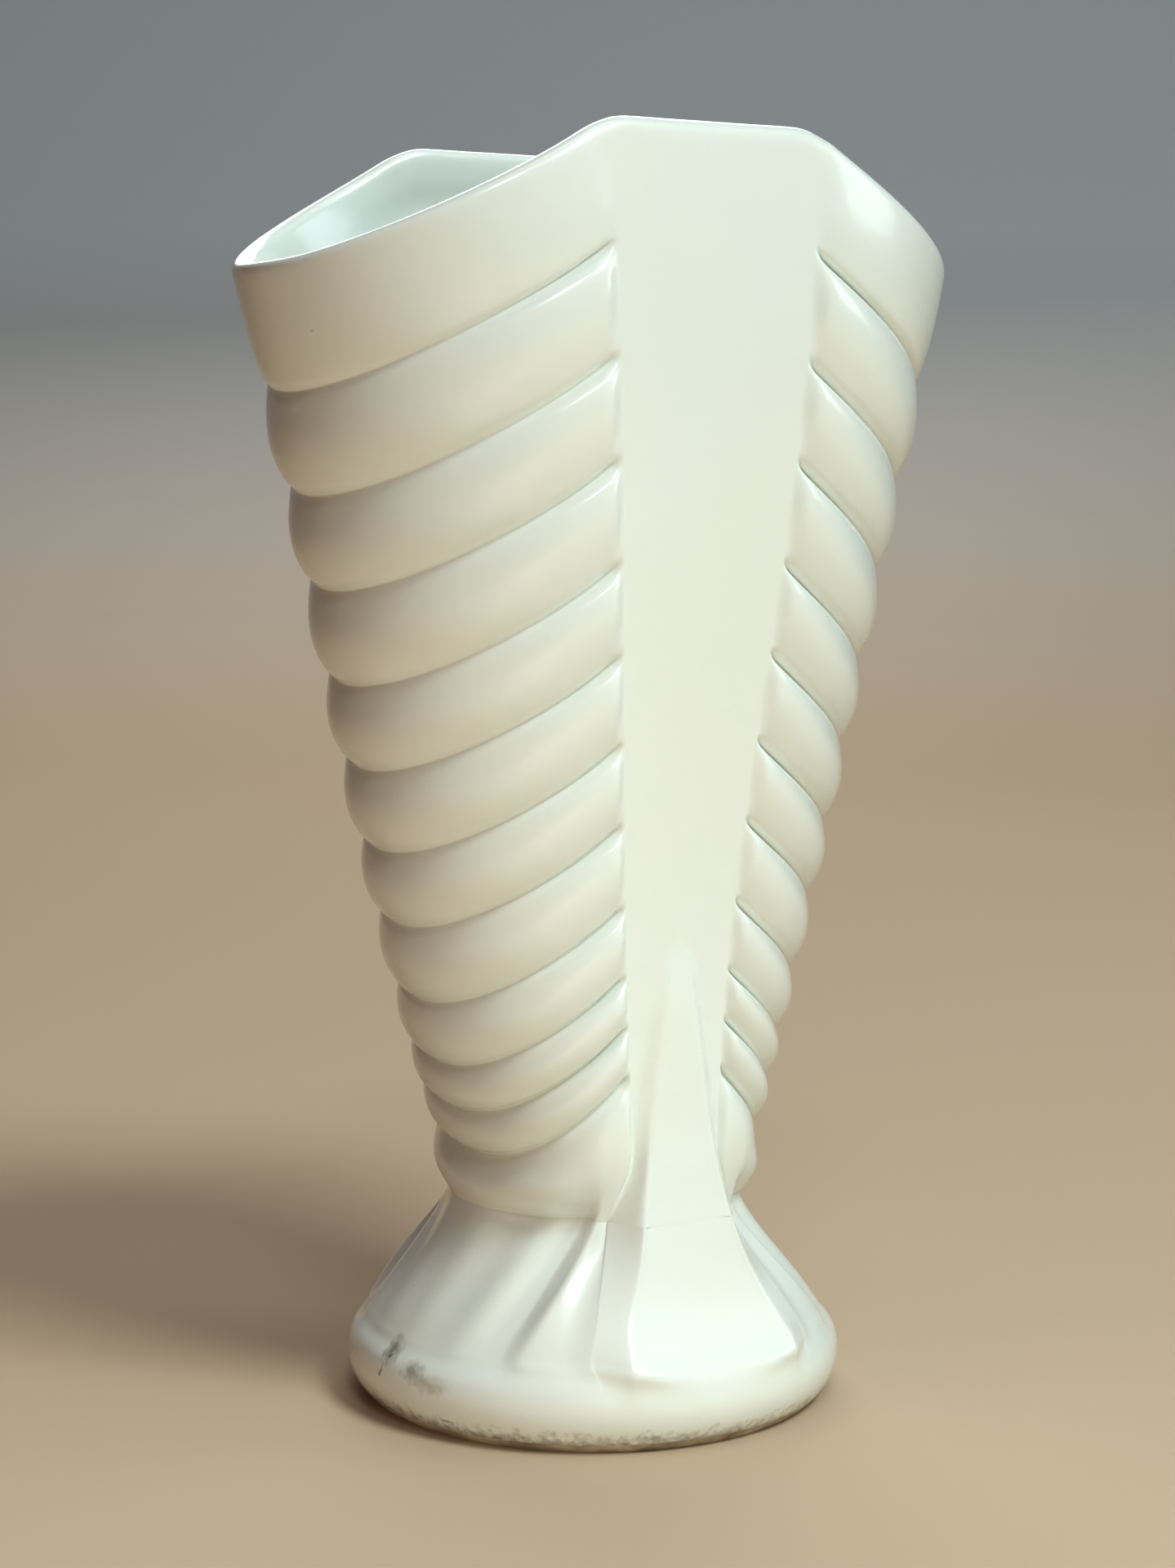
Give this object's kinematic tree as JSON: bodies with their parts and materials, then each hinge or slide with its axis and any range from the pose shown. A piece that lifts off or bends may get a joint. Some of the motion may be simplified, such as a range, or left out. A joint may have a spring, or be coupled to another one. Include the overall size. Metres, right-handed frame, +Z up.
{
  "type": "fan vase",
  "caption": "Tall glazed pottery fan vase: oval ribbed bowl with flat front and back panels, a scooped rim, and a fluted skirt on a round disc foot.",
  "frame": {"origin": "centre of the foot's underside, on the surface that the vase stands on", "axes": "+Z up the vase, X along the wide direction from lobe end to lobe end, a flat panel faces -Y and its twin faces +Y"},
  "size_m": [0.1218, 0.081, 0.203],
  "materials": {
    "fired_clay": "bare fired earthenware, matt, pale buff",
    "white_glaze": "opaque off-white satin glaze"
  },
  "bodies": {
    "root": {"bowl_casting": "fired_clay", "foot_casting": "fired_clay", "luting_slip": "fired_clay", "bowl_glaze": "white_glaze", "foot_glaze": "white_glaze"}
  },
  "joints": []
}
